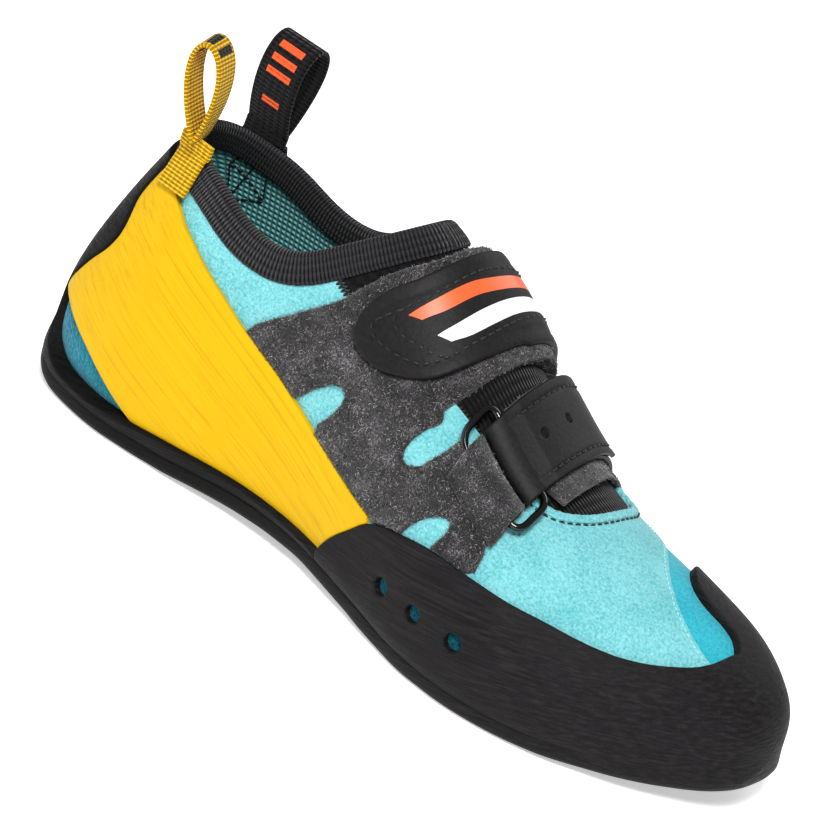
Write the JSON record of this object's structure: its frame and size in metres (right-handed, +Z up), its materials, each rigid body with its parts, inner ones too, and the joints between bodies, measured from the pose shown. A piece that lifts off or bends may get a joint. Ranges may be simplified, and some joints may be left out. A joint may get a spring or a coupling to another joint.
{
  "type": "climbing shoe",
  "caption": "Low-cut right climbing shoe with a hollow suede upper, elastic throat, rubber toe and heel rands, side bands, two hook-and-loop straps, a wire ring and pull loops.",
  "frame": {"origin": "on the floor under the middle of the heel's flat spot, on the heel's middle line", "axes": "+X along the shoe to the toe, +Y to the inner side of the foot, +Z up"},
  "size_m": [0.2476, 0.0871, 0.1181],
  "materials": {
    "rubber": "matte black rubber with fine parallel grain lines",
    "suede": "light teal suede, short nap, darker round the heel",
    "elastic": "black elastic gore with raised ribs",
    "insole_cloth": "teal-green brushed cloth",
    "band": "yellow rubber with fine lines along its length",
    "binding_tape": "black woven binding tape",
    "felt": "dark grey felt with light fibres",
    "strap_leather": "black grained synthetic leather, stitched along its edges",
    "wire": "black lacquered wire, semi-gloss",
    "outer_webbing": "yellow woven webbing",
    "inner_webbing": "black woven webbing"
  },
  "bodies": {
    "root": {"outsole": "rubber", "upper": "suede", "tongue": "elastic", "insole": "insole_cloth", "toe_rand": "rubber", "heel_rand": "rubber", "band_outer": "band", "band_inner": "band", "collar_binding": "binding_tape", "felt_panel": "felt", "rear_strap": "strap_leather", "front_strap": "strap_leather", "front_strap_felt": "felt", "ring_tab": "felt", "buckle_ring": "wire", "pull_loop_outer": "outer_webbing", "pull_loop_inner": "inner_webbing"}
  },
  "joints": []
}
